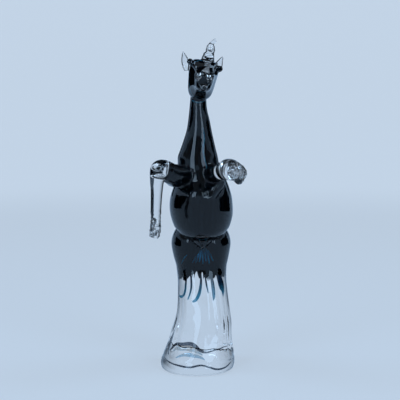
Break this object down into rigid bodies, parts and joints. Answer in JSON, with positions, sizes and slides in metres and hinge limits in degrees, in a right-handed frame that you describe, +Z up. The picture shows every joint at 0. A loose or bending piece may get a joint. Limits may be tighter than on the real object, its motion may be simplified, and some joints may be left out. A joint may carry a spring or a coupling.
{
  "type": "crystal horse figurine",
  "caption": "Rearing horse made hot in one piece of glass: dark cased body, clear pulled forelegs, ears, forelock and mane, standing on a clear fluted foot.",
  "frame": {"origin": "middle of the flat underside of the foot", "axes": "+Z up; the horse faces -Y, with the reaching foreleg on the +X side"},
  "size_m": [0.1128, 0.1774, 0.3994],
  "materials": {
    "clear_glass": "clear fire-polished glass",
    "dark_glass": "blue-black glass sealed under the clear skin",
    "blue_glass": "blue and teal streaks sealed in the clear glass"
  },
  "bodies": {
    "root": {"crystal_horse": "clear_glass"}
  },
  "joints": []
}
